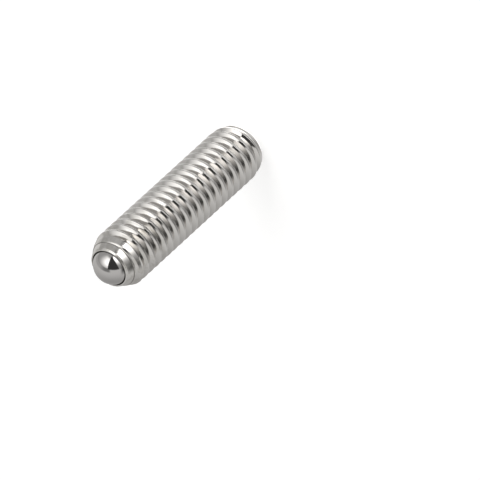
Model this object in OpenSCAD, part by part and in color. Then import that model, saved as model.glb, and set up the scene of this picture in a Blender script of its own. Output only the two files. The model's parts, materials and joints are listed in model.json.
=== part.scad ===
// Ball-ended grub screw: a headless hexagon socket set screw whose tip holds a loose thrust ball.
// It stands on its socket end: the origin is the centre of that flat face and the ball is up, at +Z.

/* [Screw] */
// Length from the socket face to the tip of the ball
overall_l = 23.5; // [14:0.5:40]
// Diameter over the crests of the thread
crest_d = 5.95; // [5.6:0.05:6.2]
// Pitch of the right-hand thread
pitch = 1; // [0.8:0.05:1.2]

/* [Socket end] */
// Diameter of the flat ring on the socket end
end_face_d = 4.8; // [4.4:0.1:5.4]
// Length of the chamfer round the socket end
end_chamfer_l = 0.85; // [0.4:0.05:1.2]
// Length above the chamfer over which the crests grow to their full height
run_out_l = 0.8; // [0.4:0.05:1.2]
// Depth of the crests below their full height where the chamfer begins
run_out_in = 0.2; // [0.1:0.01:0.3]
// Distance across the flats of the hexagon socket
socket_af = 3; // [2.5:0.1:3.4]
// Depth of the flats of the hexagon socket
socket_depth = 3.5; // [2:0.1:5]
// Width of the countersink round the mouth of the socket, from the flats out
countersink_w = 0.35; // [0.25:0.05:0.5]
// Included angle of the drill point at the bottom of the socket
drill_point_angle = 118; // [90:1:140]

/* [Ball end] */
// Wall left between the ball's seat and the root of the thread
seat_wall = 0.395; // [0.3:0.005:0.6]
// Height of the ball above the rolled lip
ball_proud = 1.25; // [1:0.05:1.5]
// Running gap all round between the ball and its seat
ball_gap = 0.03; // [0.01:0.01:0.08]
// Width of the small bevel inside the mouth of the lip, which shows as a dark ring
mouth_bevel = 0.07; // [0.03:0.01:0.1]
// Width of the flat top of the rolled lip
lip_w = 0.11; // [0.08:0.01:0.2]
// Radius of the outer edge of the rolled lip
lip_round = 0.08; // [0.04:0.01:0.12]
// Length of the band that is rolled in over the ball
rolled_l = 0.75; // [0.5:0.05:1]
// Depth that the rolled band lies below the crests, at its wide end
rolled_in = 0.52; // [0.45:0.01:0.6]
// Height of the fine step that the rolling leaves
rolled_step = 0.04; // [0.02:0.01:0.08]
// Length of the plain chamfer between the step and the full diameter
nose_chamfer_l = 1; // [0.5:0.05:1.2]
// Diameter of the drilled pocket under the ball
pocket_d = 1.6; // [1:0.1:2]
// Depth of that pocket below the bottom of the ball
pocket_depth = 0.5; // [0.3:0.1:1]

/* [Hidden] */

// A 60 degree thread keeps its profile at any pitch: its depth and crest are shares of the pitch
thread_depth = 0.55 * pitch;
crest_flat = 0.24 * pitch;

crest_r = crest_d / 2;
root_r = crest_r - thread_depth;
seat_r = root_r - seat_wall;
ball_r = seat_r - ball_gap;

lip_z = overall_l - ball_proud;
ball_z = overall_l - ball_r;
mouth_r = sqrt(seat_r * seat_r - (lip_z - ball_z) * (lip_z - ball_z));
lip_r = mouth_r + mouth_bevel + lip_w;
rolled_r = crest_r - rolled_in;
step_z = lip_z - rolled_l;
nose_z = step_z - nose_chamfer_l;

// The thread's profile over one pitch: places along the axis and radii, with 60 degree flanks
sides = 36;
flank_w = thread_depth * tan(30);
profile_z = [0, crest_flat, crest_flat + flank_w, pitch - flank_w];
profile_r = [crest_r, crest_r, root_r, root_r];
points_a_turn = len(profile_z);

// The thread runs past both ends, and the envelope then cuts it to length
thread_start = -1.5 * pitch;
turns = ceil((lip_z - thread_start) / pitch) + 1;
rows = turns * points_a_turn;
envelope_margin = 0.3;
overshoot = 1;

function row_z(row) = thread_start + floor(row / points_a_turn) * pitch + profile_z[row % points_a_turn];
function thread_point(column, row) =
    let (angle = 360 * column / sides, r = profile_r[row % points_a_turn])
    [r * cos(angle), r * sin(angle), row_z(row) + pitch * column / sides];
// Number of a point. Past the last column the helix joins the first one, a turn further on.
function at(column, row) =
    column < sides ? column * rows + row : row + points_a_turn;

// The whole helical thread as one closed solid
module thread() {
    bottom = sides * rows;
    top = bottom + 1;
    points = concat(
        [for (column = [0 : sides - 1], row = [0 : rows - 1]) thread_point(column, row)],
        [[0, 0, thread_start], [0, 0, row_z(rows - 1) + pitch]]
    );
    flanks = [
        for (column = [0 : sides - 1])
            for (row = [0 : rows - 2 - (column == sides - 1 ? points_a_turn : 0)])
                each [
                    [at(column, row), at(column, row + 1), at(column + 1, row + 1)],
                    [at(column, row), at(column + 1, row + 1), at(column + 1, row)]
                ]
    ];
    bottom_cap = concat(
        [for (column = [0 : sides - 1]) [bottom, at(column, 0), at(column + 1, 0)]],
        [for (row = [points_a_turn : -1 : 1]) [bottom, at(0, row), at(0, row - 1)]]
    );
    last = rows - 1 - points_a_turn;
    top_cap = concat(
        [for (column = [0 : sides - 2]) [top, at(column + 1, rows - 1), at(column, rows - 1)]],
        [[top, at(0, rows - 1), at(sides - 1, last)]],
        [for (row = [last : rows - 2]) [top, at(sides - 1, row), at(sides - 1, row + 1)]]
    );
    polyhedron(points = points, faces = concat(flanks, bottom_cap, top_cap), convexity = 10);
}

// Outline that the blank was turned and rolled to, as a revolve: end chamfer, nose, step and lip
module envelope() {
    clear_r = crest_r + envelope_margin;
    // Slopes of the two cones that are carried past the crests
    run_out_slope = run_out_l / run_out_in;
    nose_slope = nose_chamfer_l / (rolled_in - rolled_step);
    rotate_extrude($fn = 96)
        polygon([
            [0, 0],
            [end_face_d / 2, 0],
            [crest_r - run_out_in, end_chamfer_l],
            [clear_r, end_chamfer_l + (run_out_in + envelope_margin) * run_out_slope],
            [clear_r, nose_z - envelope_margin * nose_slope],
            [rolled_r + rolled_step, step_z],
            [rolled_r, step_z],
            [lip_r + lip_round, lip_z - lip_round],
            [lip_r, lip_z],
            [0, lip_z]
        ]);
}

// Cavity that holds the ball: a spherical seat that the lip closes over, and the drilled pocket
module ball_seat() {
    translate([0, 0, ball_z]) sphere(r = seat_r, $fn = 96);
    translate([0, 0, lip_z - mouth_bevel])
        cylinder(h = 2 * mouth_bevel, r1 = mouth_r, r2 = mouth_r + 2 * mouth_bevel, $fn = 96);
    translate([0, 0, ball_z - ball_r - pocket_depth])
        cylinder(h = pocket_depth + ball_r / 2, d = pocket_d, $fn = 48);
    translate([0, 0, ball_z - ball_r - pocket_depth])
        drill_point(pocket_d);
}

// Cone left by the point of a drill, with its wide end at z = 0
module drill_point(d) {
    h = d / 2 / tan(drill_point_angle / 2);
    translate([0, 0, -h]) cylinder(h = h, r1 = 0, r2 = d / 2, $fn = 48);
}

// Hexagon socket with its countersunk mouth and drilled bottom
module hex_socket() {
    corner_d = socket_af / cos(30);
    translate([0, 0, -overshoot])
        cylinder(h = socket_depth + overshoot, d = corner_d, $fn = 6);
    translate([0, 0, socket_depth]) mirror([0, 0, 1]) drill_point(socket_af);
    // A 90 degree countersink, as deep as it is wide
    translate([0, 0, -overshoot])
        cylinder(
            h = countersink_w + overshoot,
            r1 = socket_af / 2 + countersink_w + overshoot,
            r2 = socket_af / 2,
            $fn = 96
        );
}

module threaded_body() {
    color([0.74, 0.73, 0.71])
        difference() {
            intersection() {
                thread();
                envelope();
            }
            ball_seat();
            hex_socket();
        }
}

module thrust_ball() {
    color([0.82, 0.82, 0.82])
        translate([0, 0, ball_z]) sphere(r = ball_r, $fn = 96);
}

threaded_body();
thrust_ball();
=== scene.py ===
# %% [markdown]
# # A ball-ended grub screw
# The real object is a short stainless steel bar. Its outside is turned to an outline, a thread is
# rolled along it, a hexagon socket is pressed into one end, and the other end holds a loose, polished
# ball under a rolled lip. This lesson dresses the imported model: it makes both pieces again with
# finer meshes, gives them their finishes, and photographs the screw in a small studio.

# %% Load the frame
import json
import math

import bmesh
import bpy
from mathutils import Matrix, Vector

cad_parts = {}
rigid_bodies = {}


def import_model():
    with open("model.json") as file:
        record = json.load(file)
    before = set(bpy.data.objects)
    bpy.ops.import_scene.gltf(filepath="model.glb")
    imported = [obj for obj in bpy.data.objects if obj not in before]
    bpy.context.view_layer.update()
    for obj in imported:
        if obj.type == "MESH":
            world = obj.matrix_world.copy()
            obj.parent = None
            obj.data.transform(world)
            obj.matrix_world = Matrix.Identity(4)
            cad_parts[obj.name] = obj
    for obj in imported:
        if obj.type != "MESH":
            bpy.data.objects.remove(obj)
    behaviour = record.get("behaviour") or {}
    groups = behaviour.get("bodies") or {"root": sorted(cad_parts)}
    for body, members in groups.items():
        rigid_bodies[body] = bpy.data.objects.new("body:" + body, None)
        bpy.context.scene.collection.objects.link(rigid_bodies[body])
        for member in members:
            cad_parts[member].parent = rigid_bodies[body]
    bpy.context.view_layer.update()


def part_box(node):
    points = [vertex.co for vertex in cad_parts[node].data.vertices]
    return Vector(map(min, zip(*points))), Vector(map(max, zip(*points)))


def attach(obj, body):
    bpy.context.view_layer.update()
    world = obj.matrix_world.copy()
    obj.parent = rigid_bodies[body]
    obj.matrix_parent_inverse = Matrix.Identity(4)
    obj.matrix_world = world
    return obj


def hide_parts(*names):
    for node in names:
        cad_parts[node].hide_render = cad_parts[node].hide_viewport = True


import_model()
MM = 0.001

# %% [markdown]
# ## Sizes
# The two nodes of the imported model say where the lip, the crests and the ball are. The smaller sizes
# below are in millimetres. They are the part's own, apart from the chamfer at the socket end, which is
# shorter here, because the thread fades out above it.

# %% Read and name the sizes
body_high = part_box("threaded_body")[1]
ball_low, ball_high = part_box("thrust_ball")
lip_z = body_high.z / MM
crest_r = body_high.x / MM
ball_r = (ball_high.x - ball_low.x) / 2 / MM
ball_z = (ball_high.z + ball_low.z) / 2 / MM

PITCH = 1.0
THREAD_DEPTH = 0.55 * PITCH
CREST_FLAT = 0.24 * PITCH
THREAD_START = -1.5 * PITCH
END_FACE_R = 2.4
END_CHAMFER_L = 0.25
END_CHAMFER_W = 0.18
SOCKET_AF = 3.0
SOCKET_DEPTH = 3.5
COUNTERSINK_W = 0.35
DRILL_POINT_ANGLE = math.radians(118)
BALL_GAP = 0.03
MOUTH_BEVEL = 0.07
LIP_W = 0.11
LIP_ROUND = 0.08
ROLLED_L = 0.75
ROLLED_IN = 0.52
ROLLED_STEP = 0.04
NOSE_CHAMFER_L = 1.0
POCKET_R = 0.8
POCKET_DEPTH = 0.5

root_r = crest_r - THREAD_DEPTH
seat_r = ball_r + BALL_GAP
rolled_r = crest_r - ROLLED_IN
step_z = lip_z - ROLLED_L
mouth_r = math.sqrt(seat_r**2 - (lip_z - ball_z) ** 2)
lip_r = mouth_r + MOUTH_BEVEL + LIP_W
nose_z = step_z - NOSE_CHAMFER_L
print(f"lip at {lip_z:.2f} mm, crests {crest_r:.3f} mm, ball {ball_r:.3f} mm at {ball_z:.2f} mm")

# %% [markdown]
# ## Outlines with rounded corners
# Turned steel has no perfectly sharp corner: each one catches a thin line of light. An outline is
# written as its corners, each with the radius that the tool left, and a helper swaps every corner for
# a short arc. The alternative, a Bevel modifier after modelling, would have to cope with the thread.


# %% Helper: an outline from corners and radii
ARC_STEPS = 4


def rounded(corners):
    """Points (radius, height) in mm of an outline whose corners are (radius, height, fillet)."""
    points = []
    for index, (r, z, fillet) in enumerate(corners):
        corner = Vector((r, z))
        if not fillet or index in (0, len(corners) - 1):
            points.append(corner)
            continue
        to_last = (Vector(corners[index - 1][:2]) - corner).normalized()
        to_next = (Vector(corners[index + 1][:2]) - corner).normalized()
        half = to_last.angle(to_next) / 2
        reach = fillet / math.tan(half)
        centre = corner + (to_last + to_next).normalized() * fillet / math.sin(half)
        start = corner + to_last * reach - centre
        end = corner + to_next * reach - centre
        turn = start.angle_signed(end)
        for step in range(ARC_STEPS + 1):
            angle = -turn * step / ARC_STEPS
            points.append(centre + Matrix.Rotation(angle, 2) @ start)
    return points


# %% [markdown]
# ## Turning
# Everything round on the screw is an outline spun once about the axis. The spin closes on itself with
# `use_merge`, and `remove_doubles` welds the points that lie on the axis.

# %% Helper: a closed turned shape
TURN_STEPS = 192
WELD_M = 1e-8


def wire(bm, points):
    """A chain of edges through points (radius, height) in mm, in the plane y = 0."""
    verts = [bm.verts.new((p[0] * MM, 0, p[1] * MM)) for p in points]
    edges = [bm.edges.new(pair) for pair in zip(verts, verts[1:])]
    return verts + edges


def finish_mesh(bm, name):
    """Welds, orients and stores a bmesh as a new object."""
    bmesh.ops.remove_doubles(bm, verts=bm.verts, dist=WELD_M)
    bmesh.ops.recalc_face_normals(bm, faces=bm.faces)
    mesh = bpy.data.meshes.new(name)
    bm.to_mesh(mesh)
    bm.free()
    made = bpy.data.objects.new(name, mesh)
    bpy.context.scene.collection.objects.link(made)
    return made


def turned(name, points, steps=TURN_STEPS):
    """The solid of revolution of an outline that starts and ends on the axis."""
    bm = bmesh.new()
    bmesh.ops.spin(
        bm, geom=wire(bm, points), cent=(0, 0, 0), axis=(0, 0, 1), dvec=(0, 0, 0),
        angle=math.tau, steps=steps, use_merge=True, use_duplicate=False,
    )
    return finish_mesh(bm, name)


# %% [markdown]
# ## The thread
# A thread is one small outline, a pitch long, that climbs as it turns. `bmesh.ops.spin` does exactly
# that when its `dvec` lifts each step a little. One turn is spun, and copies of it are stacked a pitch
# apart, which is far quicker than one long spin. Each turn ends where the next begins, so welding them
# gives one smooth helix. Towards the socket end the dies press less and less: the crests sink and the
# groove fades out before the rim. The helix runs past both ends of the screw, and two caps close it, so
# that it can be cut to the outline.

# %% Sweep the thread
THREAD_STEPS = 96
TURN_WELD_M = 1e-7
FLANK_ANGLE = math.radians(30)
CREST_ROUND = 0.06
ROOT_ROUND = 0.09
# The crests rise to their full height between two heights, and the groove opens between two others
RUN_OUT_FROM = -0.25
RUN_OUT_TO = 2.05
GROOVE_FROM = 0.3
GROOVE_FULL = 1.1
flank_w = THREAD_DEPTH * math.tan(FLANK_ANGLE)
thread_turns = math.ceil((lip_z - THREAD_START) / PITCH) + 1


def thread_outline():
    """One pitch of the thread, from the middle of a crest to the middle of the next."""
    middle = THREAD_START + CREST_FLAT / 2
    start = THREAD_START + CREST_FLAT
    return rounded([
        (crest_r, middle, 0),
        (crest_r, start, CREST_ROUND),
        (root_r, start + flank_w, ROOT_ROUND),
        (root_r, THREAD_START + PITCH - flank_w, ROOT_ROUND),
        (crest_r, THREAD_START + PITCH, CREST_ROUND),
        (crest_r, middle + PITCH, 0),
    ])


def fade_out(bm):
    """Draws the points near the socket end in: first the crests sink, then the groove closes."""
    for vert in bm.verts:
        z = vert.co.z / MM
        if z < RUN_OUT_TO:
            radius = vert.co.xy.length / MM
            risen = max(z - RUN_OUT_FROM, 0) / (RUN_OUT_TO - RUN_OUT_FROM)
            crest = math.sin(math.pi / 2 * risen)
            closed = min(max((GROOVE_FULL - z) / (GROOVE_FULL - GROOVE_FROM), 0), 1)
            groove = closed * crest
            share = groove + (crest - groove) * (radius - root_r) / THREAD_DEPTH
            vert.co.xy *= (root_r + THREAD_DEPTH * share) / radius


def swept_thread():
    """The helix as a closed solid, capped above and below."""
    bm = bmesh.new()
    bmesh.ops.spin(
        bm, geom=wire(bm, thread_outline()), cent=(0, 0, 0), axis=(0, 0, 1),
        dvec=(0, 0, PITCH * MM / THREAD_STEPS), angle=math.tau, steps=THREAD_STEPS,
        use_merge=False, use_duplicate=False,
    )
    one_turn = bm.verts[:] + bm.edges[:] + bm.faces[:]
    for number in range(1, thread_turns):
        copied = bmesh.ops.duplicate(bm, geom=one_turn)["geom"]
        copied_verts = [v for v in copied if isinstance(v, bmesh.types.BMVert)]
        bmesh.ops.translate(bm, verts=copied_verts, vec=(0, 0, PITCH * MM * number))
    bmesh.ops.remove_doubles(bm, verts=bm.verts, dist=TURN_WELD_M)
    fade_out(bm)
    rim = [e for e in bm.edges if e.is_boundary]
    low_rim = [e for e in rim if e.verts[0].co.z < lip_z * MM / 2]
    high_rim = [e for e in rim if e.verts[0].co.z >= lip_z * MM / 2]
    for edges in (low_rim, high_rim):
        made = bmesh.ops.extrude_edge_only(bm, edges=edges)["geom"]
        tips = [v for v in made if isinstance(v, bmesh.types.BMVert)]
        height = sum(v.co.z for v in tips) / len(tips)
        bmesh.ops.pointmerge(bm, verts=tips, merge_co=(0, 0, height))
    return finish_mesh(bm, "screw_body")


screw_body = swept_thread()
print(f"thread: {thread_turns} turns, {len(screw_body.data.polygons)} faces")

# %% [markdown]
# ## Cutting to shape
# The envelope is the outline that the blank was turned to: the chamfer at the socket end, the cone of
# the nose, the fine step that the rolling tool leaves, and the lip over the ball. Where the nose meets
# the helix, the thread runs out as it does on the real screw. The seat and the socket are cut after.

# %% Make the cutters
CLEAR = 0.4
OVERSHOOT = 1.0
DRILL_OVERLAP = 0.05
BORE_STEPS = 96
SEAT_STEPS = 40
END_ROUND = 0.04
CHAMFER_ROUND = 0.2
RUN_OUT_CLEAR = 0.15
# The fine groove that the rolling tool leaves under its step
STEP_ROUND = 0.02
STEP_GROOVE_ROUND = 0.01
STEP_GROOVE_IN = 0.02
STEP_GROOVE_BELOW = 0.015
STEP_GROOVE_ABOVE = 0.04
# The small rim that it pushes up on the lip: out from the lip's edge, up from it, and fillet
LIP_RIM = ((0.03, -0.07, 0.02), (-0.03, -0.03, 0.01), (-0.01, 0.02, 0.02))
LIP_EDGE_ROUND = 0.04
nose_slope = NOSE_CHAMFER_L / (ROLLED_IN - ROLLED_STEP)
clear_r = crest_r + CLEAR

envelope = turned("envelope", rounded([
    (0, 0, 0),
    (END_FACE_R, 0, END_ROUND),
    (END_FACE_R + END_CHAMFER_W, END_CHAMFER_L, CHAMFER_ROUND),
    (clear_r, RUN_OUT_TO + RUN_OUT_CLEAR, 0),
    (clear_r, nose_z - CLEAR * nose_slope, 0),
    (rolled_r + ROLLED_STEP, step_z, STEP_ROUND),
    (rolled_r - STEP_GROOVE_IN, step_z - STEP_GROOVE_BELOW, STEP_GROOVE_ROUND),
    (rolled_r - STEP_GROOVE_IN, step_z + STEP_GROOVE_ABOVE, STEP_GROOVE_ROUND),
    *[(lip_r + LIP_ROUND + out, lip_z - LIP_ROUND + up, fillet) for out, up, fillet in LIP_RIM],
    (lip_r, lip_z, LIP_EDGE_ROUND),
    (0, lip_z, 0),
]))


def drill_point_l(radius):
    """Length of the cone that a drill of that radius leaves."""
    return radius / math.tan(DRILL_POINT_ANGLE / 2)


def seat_outline():
    """Drilled pocket, spherical seat and the small bevel of the mouth, from the axis to the axis."""
    pocket_z = ball_z - ball_r - POCKET_DEPTH
    low = -math.acos(POCKET_R / seat_r)
    # The bevel, a 45 degree cone, meets the sphere a little below the lip
    cone_r = mouth_r + MOUTH_BEVEL - (lip_z - ball_z)
    high = math.acos(cone_r / seat_r / math.sqrt(2)) - math.pi / 4
    points = [
        Vector((0, pocket_z - drill_point_l(POCKET_R))),
        Vector((POCKET_R, pocket_z)),
    ]
    for step in range(SEAT_STEPS + 1):
        angle = low + (high - low) * step / SEAT_STEPS
        points.append(Vector((seat_r * math.cos(angle), ball_z + seat_r * math.sin(angle))))
    points.append(Vector((mouth_r + 2 * MOUTH_BEVEL, lip_z + MOUTH_BEVEL)))
    points.append(Vector((0, lip_z + MOUTH_BEVEL)))
    return points


def hexagon_cutter():
    """The pressed hexagon, run out past the end face."""
    bm = bmesh.new()
    corner_r = SOCKET_AF / 2 / math.cos(math.radians(30))
    middle = (SOCKET_DEPTH - OVERSHOOT) / 2
    bmesh.ops.create_cone(
        bm, cap_ends=True, segments=6, radius1=corner_r * MM, radius2=corner_r * MM,
        depth=(SOCKET_DEPTH + OVERSHOOT) * MM, matrix=Matrix.Translation((0, 0, middle * MM))
        @ Matrix.Rotation(math.radians(30), 4, "Z"),
    )
    return finish_mesh(bm, "hexagon")


ball_seat = turned("ball_seat", seat_outline())
hexagon = hexagon_cutter()
drill_tip = turned("drill_tip", [
    Vector((0, SOCKET_DEPTH - DRILL_OVERLAP)),
    Vector((SOCKET_AF / 2, SOCKET_DEPTH - DRILL_OVERLAP)),
    Vector((SOCKET_AF / 2, SOCKET_DEPTH)),
    Vector((0, SOCKET_DEPTH + drill_point_l(SOCKET_AF / 2))),
], steps=BORE_STEPS)
countersink = turned("countersink", [
    Vector((0, -OVERSHOOT)),
    Vector((SOCKET_AF / 2 + COUNTERSINK_W + OVERSHOOT, -OVERSHOOT)),
    Vector((SOCKET_AF / 2, COUNTERSINK_W)),
    Vector((0, COUNTERSINK_W)),
], steps=BORE_STEPS)

# %% Cut the body


def cut(target, cutter, operation):
    """Applies one exact boolean and removes the cutter."""
    modifier = target.modifiers.new(operation.lower(), "BOOLEAN")
    modifier.operation = operation
    modifier.object = cutter
    modifier.solver = "EXACT"
    depsgraph = bpy.context.evaluated_depsgraph_get()
    result = bpy.data.meshes.new_from_object(target.evaluated_get(depsgraph))
    target.modifiers.clear()
    target.data = result
    bpy.data.objects.remove(cutter)


cut(screw_body, envelope, "INTERSECT")
for cutter in (ball_seat, hexagon, drill_tip, countersink):
    cut(screw_body, cutter, "DIFFERENCE")
print(f"body: {len(screw_body.data.polygons)} faces")

# %% [markdown]
# ## Shading the body
# The long faces are smooth, but the corners of the hexagon, the end faces and the edges where the
# thread was cut are real edges. Marking edges sharp above an angle keeps both.

# %% Smooth the body and hand it to the frame
SHARP_ANGLE = math.radians(34)


def smooth(piece):
    """Smooth faces, with sharp edges where the surface really turns."""
    piece.data.shade_smooth()
    piece.data.set_sharp_from_angle(angle=SHARP_ANGLE)


smooth(screw_body)
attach(screw_body, "screw")
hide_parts("threaded_body")

# %% [markdown]
# ## The ball
# A bearing ball is a near-perfect mirror, so its mesh has to be fine: any facet would bend the
# reflections. A UV sphere with its poles on the axis keeps even rings, which the lip then follows.

# %% Make the ball
BALL_SEGMENTS = 192
BALL_RINGS = 96

bm = bmesh.new()
bmesh.ops.create_uvsphere(
    bm, u_segments=BALL_SEGMENTS, v_segments=BALL_RINGS, radius=ball_r * MM,
    matrix=Matrix.Translation((0, 0, ball_z * MM)),
)
polished_ball = finish_mesh(bm, "polished_ball")
polished_ball.data.shade_smooth()
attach(polished_ball, "ball")
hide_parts("thrust_ball")

# %% [markdown]
# ## Helpers for node trees
# Materials here are small graphs. Short helpers add a node with its settings, do the sums and mix two
# ends, so that each material reads like a recipe.


# %% Helpers for nodes
def node(tree, kind, **settings):
    """A new node, with inputs given by name as in_Name or by index as in_0."""
    made = tree.nodes.new(kind)
    for key, value in settings.items():
        if key.startswith("in_"):
            name = key[3:].replace("_", " ")
            made.inputs[int(name) if name.isdigit() else name].default_value = value
        else:
            setattr(made, key, value)
    return made


def math_node(tree, operation, first, second=None):
    """One Math node. An argument is a socket or a number. Returns its output."""
    made = node(tree, "ShaderNodeMath", operation=operation)
    for index, value in enumerate((first, second)):
        if isinstance(value, (int, float)):
            made.inputs[index].default_value = value
        elif value is not None:
            tree.links.new(value, made.inputs[index])
    return made.outputs[0]


def chain(tree, operation, values):
    """The same operation over several sockets and numbers, from left to right."""
    result = values[0]
    for value in values[1:]:
        result = math_node(tree, operation, result, value)
    return result


def product(tree, *factors):
    """The product of several sockets and numbers."""
    return chain(tree, "MULTIPLY", factors)


def total(tree, *terms):
    """The sum of several sockets and numbers."""
    return chain(tree, "ADD", terms)


def less(tree, first, second):
    """The first socket or number less the second."""
    return math_node(tree, "SUBTRACT", first, second)


def distance(tree, first, second):
    """How far a point lies from the origin, from its two places at right angles."""
    squares = total(tree, product(tree, first, first), product(tree, second, second))
    return math_node(tree, "SQRT", squares)


def map_range(tree, value, low, high, to_low=0.0, to_high=1.0):
    """A smooth Map Range from one interval to another. Returns its output."""
    made = node(tree, "ShaderNodeMapRange", interpolation_type="SMOOTHSTEP")
    tree.links.new(value, made.inputs["Value"])
    made.inputs["From Min"].default_value = low
    made.inputs["From Max"].default_value = high
    made.inputs["To Min"].default_value = to_low
    made.inputs["To Max"].default_value = to_high
    return made.outputs[0]


def mix(tree, data_type, factor, first, second):
    """One Mix node. Each end is a socket or a colour. Returns its output."""
    made = node(tree, "ShaderNodeMix", data_type=data_type)
    tree.links.new(factor, made.inputs["Factor"])
    for name, value in (("A", first), ("B", second)):
        if isinstance(value, tuple):
            made.inputs[name].default_value = value
        else:
            tree.links.new(value, made.inputs[name])
    return made.outputs["Result"]


# %% [markdown]
# ## Marks along the thread and round the ends
# Rolling dies and lathe tools leave fine marks that follow their path. On the thread that path is the
# helix, and on the nose and the ends it is a circle. Object coordinates give radius, height and angle.
# Height minus angle, counted in pitches, is the same all along one crest, so its fraction tells how far
# across the groove a point is, and its whole part, with the angle, how far along the thread.

# %% Shader group: marks of the tools
STREAK_DETAIL = 3.0
STREAK_ROUGHNESS = 0.6
WAVES_ACROSS = 1.6
WAVES_A_TURN = 7.0
WAVE_DETAIL = 1.0
PATCH_SCALE = 0.9
PATCH_DETAIL = 4.0
# Unit direction from the axis to the side of the screw where the seams are deepest and their painted
# dark reflection strongest
SEAM_SIDE = (-0.36, 0.93)
GROUP_INPUTS = ("Fineness", "Length")
GROUP_OUTPUTS = ("Helix", "Rings", "Waves", "Across", "Radius", "Height", "Side", "Patches")


def noise(tree, first, second, third, detail):
    """Noise over three coordinates, of which the last may be left at 0."""
    place = node(tree, "ShaderNodeCombineXYZ")
    for index, socket in enumerate((first, second, third)):
        if socket is not None:
            tree.links.new(socket, place.inputs[index])
    made = node(
        tree, "ShaderNodeTexNoise", in_Scale=1.0, in_Detail=detail, in_Roughness=STREAK_ROUGHNESS,
    )
    tree.links.new(place.outputs[0], made.inputs["Vector"])
    return made.outputs["Fac"]


def make_tool_marks():
    """Group with the marks' fineness and length in, and masks and places in mm out.

    Helix and Rings are fine streaks along the thread and round the axis, Waves are slow ones along the
    thread, and Patches are blotches. Across is the place across the groove, from 0 to 1, Radius and
    Height are in mm, and Side is 1 on the side where the seams are deepest and their painted dark
    reflection strongest, and -1 opposite it.
    """
    tree = bpy.data.node_groups.new("tool_marks", "ShaderNodeTree")
    for names, in_out in ((GROUP_INPUTS, "INPUT"), (GROUP_OUTPUTS, "OUTPUT")):
        for name in names:
            tree.interface.new_socket(name, in_out=in_out, socket_type="NodeSocketFloat")
    entry = tree.nodes.new("NodeGroupInput")
    leave = tree.nodes.new("NodeGroupOutput")
    coords = node(tree, "ShaderNodeTexCoord")
    in_mm = node(tree, "ShaderNodeVectorMath", operation="SCALE")
    tree.links.new(coords.outputs["Object"], in_mm.inputs[0])
    in_mm.inputs["Scale"].default_value = 1 / MM
    parts = node(tree, "ShaderNodeSeparateXYZ")
    tree.links.new(in_mm.outputs["Vector"], parts.inputs[0])
    x, y, z = parts.outputs
    radius = distance(tree, x, y)
    angle = math_node(tree, "DIVIDE", math_node(tree, "ARCTAN2", y, x), math.tau)
    # A crest's middle is at half, and the fraction starts anew at the bottom of the groove
    crest_middle = (THREAD_START + CREST_FLAT / 2) / PITCH
    climbed = less(tree, math_node(tree, "DIVIDE", z, PITCH), angle)
    climbed = total(tree, climbed, 0.5 - crest_middle)
    across = math_node(tree, "FRACT", climbed)
    along = total(tree, math_node(tree, "FLOOR", climbed), angle)

    fineness = entry.outputs["Fineness"]
    length = entry.outputs["Length"]
    per_turn = math_node(tree, "DIVIDE", math.tau * crest_r, length)
    helix = noise(
        tree, product(tree, across, fineness), product(tree, along, per_turn), None, STREAK_DETAIL,
    )
    unit_x = math_node(tree, "DIVIDE", x, radius)
    unit_y = math_node(tree, "DIVIDE", y, radius)
    # Height less radius changes along the screw and also across its flat ends
    rings = noise(
        tree, unit_x, unit_y, product(tree, less(tree, z, radius), fineness), STREAK_DETAIL,
    )
    side = total(tree, product(tree, unit_x, SEAM_SIDE[0]), product(tree, unit_y, SEAM_SIDE[1]))
    waves = noise(
        tree, product(tree, across, WAVES_ACROSS), product(tree, along, WAVES_A_TURN), None,
        WAVE_DETAIL,
    )
    patches = noise(
        tree, product(tree, x, PATCH_SCALE), product(tree, y, PATCH_SCALE), z, PATCH_DETAIL,
    )
    outputs = (helix, rings, waves, across, radius, z, side, patches)
    for name, socket in zip(GROUP_OUTPUTS, outputs):
        tree.links.new(socket, leave.inputs[name])
    return tree


tool_marks = make_tool_marks()


# %% [markdown]
# ## Two finishes of one steel
# Both pieces are stainless steel, a warm, neutral grey mirror. Rolling presses the thread smooth, so the
# body reflects the studio sharply, but its fine marks and slight waves break the reflections up. The
# crests near the ball keep two fine seams, where the steel met as it rose between the dies, and their
# near-black colour is a painted dark reflection. The grooves, the step and the seat round the ball are
# painted darker, as painted shade. The ball is lapped: it has almost no roughness.

# %% Material: turned and rolled steel
MARK_FINENESS = 11.0
MARK_LENGTH = 1.5
# The grooves' darker colour is painted shade
GROOVE_SHADE_COLOUR = (0.745, 0.725, 0.7, 1.0)
CREST_COLOUR = (0.82, 0.8, 0.775, 1.0)
TINT_COLOUR = (0.58, 0.56, 0.515, 1.0)
TINT_SHARE = 0.45
# Near-black colour for painted shade round the ball and in the step, and painted dark reflection on the
# seams
PAINTED_DARK_COLOUR = (0.05, 0.045, 0.04, 1.0)
# How far the painted shade reaches out from the seat, in mm
GAP_SHADE_REACH = 0.06
# Place of each seam across the thread, as a share of the pitch, and half its width
SEAMS = ((0.4, 0.075), (0.53, 0.065))
SEAM_FAINT = 0.25
# How dark the seams are painted, as painted dark reflection
SEAM_DARK_REFLECTION = 0.95
# How dark the step's line is painted, as painted shade
STEP_LINE_SHADE = 0.4
ROUGHNESS_GROOVE = 0.07
ROUGHNESS_CREST = 0.05
# Relief in mm
MARK_DEPTH = 0.0035
SEAM_DEPTH = 0.03
WAVE_DEPTH_FAR = 0.04
WAVE_DEPTH_NEAR = 0.085


def new_material(name):
    """An empty node material with its Principled shader."""
    made = bpy.data.materials.new(name)
    made.use_nodes = True
    return made, made.node_tree, made.node_tree.nodes["Principled BSDF"]


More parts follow.
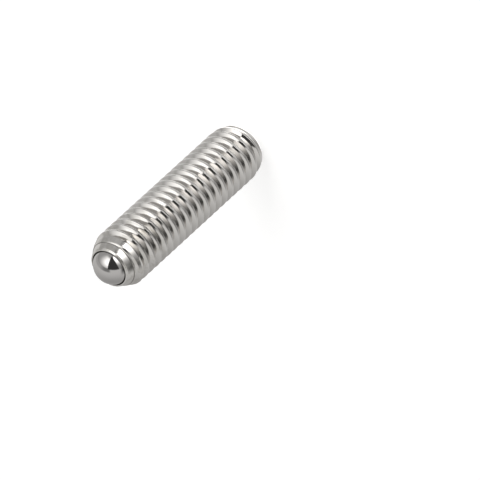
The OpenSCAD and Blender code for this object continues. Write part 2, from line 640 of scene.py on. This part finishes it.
def make_turned_steel():
    """Bright rolled steel with marks along the thread, seams on the crests painted near-black as painted
    dark reflection, and painted shade in the grooves, the step and the seat round the ball.
    """
    made, tree, shader = new_material("turned_steel")
    shader.inputs["Metallic"].default_value = 1.0
    marks = node(tree, "ShaderNodeGroup", node_tree=tool_marks)
    marks.inputs["Fineness"].default_value = MARK_FINENESS
    marks.inputs["Length"].default_value = MARK_LENGTH
    helix, rings, waves, across, radius, height, side, patches = marks.outputs
    above_chamfer = map_range(tree, height, 0.6, 1.0)
    below_nose = map_range(tree, height, nose_z + 0.3, nose_z)
    threaded = product(tree, above_chamfer, below_nose)
    streak = mix(tree, "FLOAT", threaded, rings, helix)

    # Two fine seams run along the crests. They are faint far from the ball, deepest on one side of
    # the screw, and broken by the streaks. Their near-black colour is a painted dark reflection.
    near_ball = map_range(tree, height, 11.0, 17.0, SEAM_FAINT)
    deep_side = map_range(tree, side, 0.76, 0.88, SEAM_FAINT)
    unbroken = map_range(tree, streak, 0.62, 0.38, 0.5)
    lines = []
    for place, half_width in SEAMS:
        offset = math_node(tree, "ABSOLUTE", less(tree, across, place))
        lines.append(map_range(tree, offset, half_width, half_width * 0.6))
    on_crest = map_range(tree, radius, crest_r - 0.06, crest_r - 0.02)
    seam = product(
        tree, chain(tree, "MAXIMUM", lines), on_crest, threaded, near_ball, unbroken, deep_side,
    )

    # A fine dark line, painted shade, lies in the crease of the step where the rolling tool stopped
    from_step = math_node(tree, "ABSOLUTE", less(tree, height, step_z + 0.01))
    in_step = map_range(tree, from_step, 0.05, 0.03, 0.0, STEP_LINE_SHADE)
    outside = map_range(tree, radius, rolled_r - 0.12, rolled_r - 0.08)
    step_line = product(tree, in_step, outside)

    # Painted shade: the seat is dark in a shell round the ball, in the gap between ball and body
    from_ball = distance(tree, radius, less(tree, height, ball_z))
    gap_shade = map_range(tree, from_ball, seat_r + GAP_SHADE_REACH + 0.025, seat_r + GAP_SHADE_REACH)

    # Colour: lighter on the crests and darker in the grooves, which is painted shade, with a faint brown
    # tint in patches, where the steel was warmed and handled as the lip was rolled, and near-black as
    # painted shade round the ball and in the step, and as painted dark reflection on the seams
    out_of_groove_shade = map_range(tree, radius, root_r, crest_r)
    unshaded = math_node(tree, "MAXIMUM", out_of_groove_shade, less(tree, 1.0, threaded))
    tone = mix(tree, "RGBA", unshaded, GROOVE_SHADE_COLOUR, CREST_COLOUR)
    worked = map_range(tree, height, 14.5, 18.5, 0.0, TINT_SHARE)
    tinted = product(tree, worked, map_range(tree, patches, 0.46, 0.6))
    tone = mix(tree, "RGBA", tinted, tone, TINT_COLOUR)
    # Painted shade round the ball and in the step, and painted dark reflection on the seams
    painted_dark = chain(tree, "MAXIMUM", (gap_shade, product(tree, seam, SEAM_DARK_REFLECTION), step_line))
    tone = mix(tree, "RGBA", painted_dark, tone, PAINTED_DARK_COLOUR)
    tree.links.new(tone, shader.inputs["Base Color"])

    # Roughness: streaky, and a little higher in the grooves
    uneven = map_range(tree, streak, 0.35, 0.7, -0.02, 0.05)
    dull = map_range(tree, radius, root_r, crest_r, ROUGHNESS_GROOVE, ROUGHNESS_CREST)
    tree.links.new(total(tree, dull, uneven), shader.inputs["Roughness"])

    # Relief: fine marks, slow waves along the thread, and the seams on the crests
    marked = product(tree, streak, MARK_DEPTH)
    wave_depth = map_range(tree, height, 12.5, 16.5, WAVE_DEPTH_FAR, WAVE_DEPTH_NEAR)
    waved = product(tree, waves, threaded, wave_depth)
    creased = product(tree, seam, -SEAM_DEPTH)
    bump = node(tree, "ShaderNodeBump", in_Strength=1.0)
    bump.inputs["Distance"].default_value = MM
    tree.links.new(total(tree, marked, waved, creased), bump.inputs["Height"])
    tree.links.new(bump.outputs["Normal"], shader.inputs["Normal"])
    return made


turned_steel = make_turned_steel()
screw_body.data.materials.clear()
screw_body.data.materials.append(turned_steel)

# %% Material: polished ball
CLOUD_SCALE = 900.0
CLOUD_DETAIL = 3.0
BALL_DARKER = (0.62, 0.605, 0.593, 1.0)
BALL_LIGHTER = (0.66, 0.645, 0.633, 1.0)


def make_polished_steel():
    """Mirror steel with the faintest unevenness."""
    made, tree, shader = new_material("polished_steel")
    shader.inputs["Metallic"].default_value = 1.0
    coords = node(tree, "ShaderNodeTexCoord")
    cloud = node(tree, "ShaderNodeTexNoise", in_Scale=CLOUD_SCALE, in_Detail=CLOUD_DETAIL)
    tree.links.new(coords.outputs["Object"], cloud.inputs["Vector"])
    cloudy = cloud.outputs["Fac"]
    tone = mix(tree, "RGBA", cloudy, BALL_DARKER, BALL_LIGHTER)
    tree.links.new(tone, shader.inputs["Base Color"])
    haze = map_range(tree, cloudy, 0.35, 0.65, 0.03, 0.07)
    tree.links.new(haze, shader.inputs["Roughness"])
    return made


polished_steel = make_polished_steel()
polished_ball.data.materials.append(polished_steel)

# %% [markdown]
# ## The camera
# The photograph looks at the ball end from 51 degrees off the screw's axis, with a long lens and
# with the ball to the lower left. The screw here stands on its socket end, so the camera looks down on
# it at 39 degrees and is rolled until the axis lies as in the photograph. It is aimed a little beside
# the screw, because the screw isn't in the middle of the photograph.

# %% Place the camera
FRAME_PX = 480
PX_PER_MM = 10.36
VIEW_FROM_AXIS = math.radians(51.3)
AXIS_ON_PICTURE = math.radians(222.7)
CAMERA_TURN = math.radians(190.0)
CAMERA_FAR = 1200.0
SENSOR_W = 36.0
# The point on the axis at this height is seen at this place, in pixels from the upper left corner
POINT_Z = 11.0
POINT_PX = (176.6, 206.35)

towards = Vector((
    math.sin(VIEW_FROM_AXIS) * math.sin(CAMERA_TURN),
    -math.sin(VIEW_FROM_AXIS) * math.cos(CAMERA_TURN),
    math.cos(VIEW_FROM_AXIS),
))
level_right = Vector((0, 0, 1)).cross(towards).normalized()
level_up = towards.cross(level_right)
roll = AXIS_ON_PICTURE - math.pi / 2
picture_right = level_right * math.cos(roll) - level_up * math.sin(roll)
picture_up = level_right * math.sin(roll) + level_up * math.cos(roll)

aside_mm = (FRAME_PX / 2 - POINT_PX[0]) / PX_PER_MM
above_mm = (POINT_PX[1] - FRAME_PX / 2) / PX_PER_MM
aim = Vector((0, 0, POINT_Z)) + picture_right * aside_mm + picture_up * above_mm

camera_data = bpy.data.cameras.new("camera")
camera = bpy.data.objects.new("camera", camera_data)
bpy.context.scene.collection.objects.link(camera)
bpy.context.scene.camera = camera
camera_data.sensor_width = SENSOR_W
camera_data.lens = SENSOR_W * CAMERA_FAR / (FRAME_PX / PX_PER_MM)
camera_data.clip_start = 0.1
camera_data.clip_end = 10.0
turn = Matrix((picture_right, picture_up, towards)).transposed().to_4x4()
camera.matrix_world = Matrix.Translation((aim + towards * CAMERA_FAR) * MM) @ turn
print(f"lens {camera_data.lens:.0f} mm, camera at {[round(v, 3) for v in camera.location]}")

# %% [markdown]
# ## The studio
# Polished metal has no look of its own: it shows the studio. The photograph's screw lay on a pale
# table, with a big soft light high on the right, a second one lower on the left, and a dark gap
# between them where the camera stood. The ball shows all of it. The world shader below draws those
# lights by direction, and a camera ray sees plain white instead. Directions are measured against the
# photographed table, so three vectors carry them from the photograph's frame to the screw's.

# %% World: soft lights, table and camera gap
TABLE_TILT = math.radians(40.0)
TABLE_LEVEL = 0.65
TABLE_UNDERNEATH = 0.4
ROOM_LEVEL = 0.41
RIGHT_LIGHT = 1.9
LEFT_LIGHT = 1.6
BACK_LIGHT = 0.35
BACKDROP_LIGHT = 1.0
RIGHT_STRIP = 0.9
GAP_LEVEL = 0.05
# Corners of the gap, as bearing and height in degrees, and how softly its sides fade
GAP_TOP = (-125, 78)
GAP_LEFT = (-147.5, 18)
GAP_RIGHT = (150, 15)
GAP_FADE = 0.025
STUDIO_COLOUR = (1.0, 0.995, 0.985, 1.0)
WHITE = (1.0, 1.0, 1.0, 1.0)

studio_up = picture_up * math.cos(TABLE_TILT) + towards * math.sin(TABLE_TILT)
studio_away = picture_up * math.sin(TABLE_TILT) - towards * math.cos(TABLE_TILT)
studio_right = picture_right

world = bpy.data.worlds.new("studio")
bpy.context.scene.world = world
world.use_nodes = True
world.cycles.sampling_method = "NONE"
sky = world.node_tree
sky.nodes.clear()


def towards_axis(ray, axis):
    """How far a ray leans along an axis, from -1 to 1."""
    made = node(sky, "ShaderNodeVectorMath", operation="DOT_PRODUCT")
    sky.links.new(ray, made.inputs[0])
    made.inputs[1].default_value = axis
    return made.outputs["Value"]


def band(value, low, high, soft):
    """1 between low and high, fading over soft outside them."""
    rise = map_range(sky, value, low - soft, low)
    fall = map_range(sky, value, high, high + soft, 1.0, 0.0)
    return product(sky, rise, fall)


def direction(bearing_deg, height_deg):
    """The direction at a bearing and a height above the photographed table."""
    turned_by, raised_by = math.radians(bearing_deg), math.radians(height_deg)
    level_part = studio_right * math.sin(turned_by) + studio_away * math.cos(turned_by)
    return level_part * math.cos(raised_by) + studio_up * math.sin(raised_by)


def beside(first, second):
    """1 on one side of the plane through two directions and 0 on the other, with a short fade."""
    normal = first.cross(second).normalized()
    return map_range(sky, towards_axis(seen, normal), -GAP_FADE, GAP_FADE)


# Every ray has a bearing, from straight away to the right, and a height above the table, in degrees
seen = node(sky, "ShaderNodeTexCoord").outputs["Generated"]
up_part = towards_axis(seen, studio_up)
right_part = towards_axis(seen, studio_right)
away_part = towards_axis(seen, studio_away)
height = product(sky, math_node(sky, "ARCSINE", up_part), 180 / math.pi)
bearing = product(sky, math_node(sky, "ARCTAN2", right_part, away_part), 180 / math.pi)

# Both lights are soft: they grow with height and towards the camera
right_light = product(
    sky, map_range(sky, bearing, 75.0, 150.0), map_range(sky, height, 22.0, 68.0), RIGHT_LIGHT,
)
left_light = product(
    sky, map_range(sky, bearing, -62.0, -142.0), map_range(sky, height, -2.0, 40.0),
    map_range(sky, height, 54.0, 72.0, 1.0, 0.0), LEFT_LIGHT,
)
# Behind the screw stand a white backdrop, low down, and the faint edge of a third light
back_light = product(sky, band(bearing, 48.0, 84.0, 20.0), band(height, 30.0, 50.0, 14.0), BACK_LIGHT)
backdrop = product(
    sky, band(bearing, -4.0, 22.0, 10.0), band(height, -30.0, 28.0, 10.0), BACKDROP_LIGHT,
)
lit = total(sky, ROOM_LEVEL, right_light, left_light, back_light)

# The gap is a tall triangle of darkness between the lights, where the camera stands
gap_top = direction(*GAP_TOP)
in_gap = product(
    sky, beside(gap_top, direction(*GAP_LEFT)), beside(direction(*GAP_RIGHT), gap_top),
)
lit = math_node(sky, "MAXIMUM", product(sky, lit, less(sky, 1.0, in_gap)), GAP_LEVEL)

# Below the horizon lies the table, dimmer straight below, in the screw's own shadow
above_table = map_range(sky, height, 3.0, 10.0)
table_level = map_range(sky, height, -78.0, -8.0, TABLE_UNDERNEATH, TABLE_LEVEL)
below = product(sky, less(sky, 1.0, above_table), table_level)
level = total(sky, product(sky, lit, above_table), below, backdrop)

# Dark strips stand along the horizon on both sides
right_strip = product(
    sky, band(bearing, 45.0, 127.0, 20.0), map_range(sky, bearing, 95.0, 115.0, 0.5),
    map_range(sky, height, -40.0, -5.0), map_range(sky, height, -2.0, 33.0, 1.0, 0.0), RIGHT_STRIP,
)
left_strip = product(
    sky, band(bearing, -154.0, -55.0, 14.0), map_range(sky, bearing, -135.0, -100.0, 0.62, 0.25),
    band(height, -6.0, 6.0, 8.0),
)
for strip in (right_strip, left_strip):
    level = product(sky, level, less(sky, 1.0, strip))

studio_light = node(sky, "ShaderNodeBackground", in_Color=STUDIO_COLOUR)
sky.links.new(level, studio_light.inputs["Strength"])
white = node(sky, "ShaderNodeBackground", in_Color=WHITE, in_Strength=1.0)
choose = node(sky, "ShaderNodeMixShader")
sky.links.new(node(sky, "ShaderNodeLightPath").outputs["Is Camera Ray"], choose.inputs["Fac"])
sky.links.new(studio_light.outputs[0], choose.inputs[1])
sky.links.new(white.outputs[0], choose.inputs[2])
world_out = node(sky, "ShaderNodeOutputWorld")
sky.links.new(choose.outputs[0], world_out.inputs["Surface"])

# %% [markdown]
# ## The floor
# The screw stands on a plain white floor. The camera sees it white, and the screw's own soft shadow
# still falls on it, because most of its brightness is light that it receives.

# %% Floor
FLOOR_R = 2.0
FLOOR_COLOUR = (0.93, 0.93, 0.93, 1.0)
FLOOR_ROUGHNESS = 0.9
FLOOR_GLOW = 0.55

bm = bmesh.new()
bmesh.ops.create_circle(bm, cap_ends=True, segments=96, radius=FLOOR_R)
floor = finish_mesh(bm, "floor")
floor_material, floor_tree, floor_shader = new_material("white_floor")
floor_shader.inputs["Base Color"].default_value = FLOOR_COLOUR
floor_shader.inputs["Roughness"].default_value = FLOOR_ROUGHNESS
glow = node(floor_tree, "ShaderNodeEmission", in_Color=WHITE)
paths = node(floor_tree, "ShaderNodeLightPath")
glow_level = product(floor_tree, paths.outputs["Is Camera Ray"], FLOOR_GLOW)
floor_tree.links.new(glow_level, glow.inputs["Strength"])
both = node(floor_tree, "ShaderNodeAddShader")
floor_tree.links.new(floor_shader.outputs[0], both.inputs[0])
floor_tree.links.new(glow.outputs[0], both.inputs[1])
floor_out = floor_tree.nodes["Material Output"]
floor_tree.links.new(both.outputs[0], floor_out.inputs["Surface"])
floor.data.materials.append(floor_material)
floor.visible_glossy = False

# %% Picture settings
bpy.context.scene.view_settings.view_transform = "Standard"
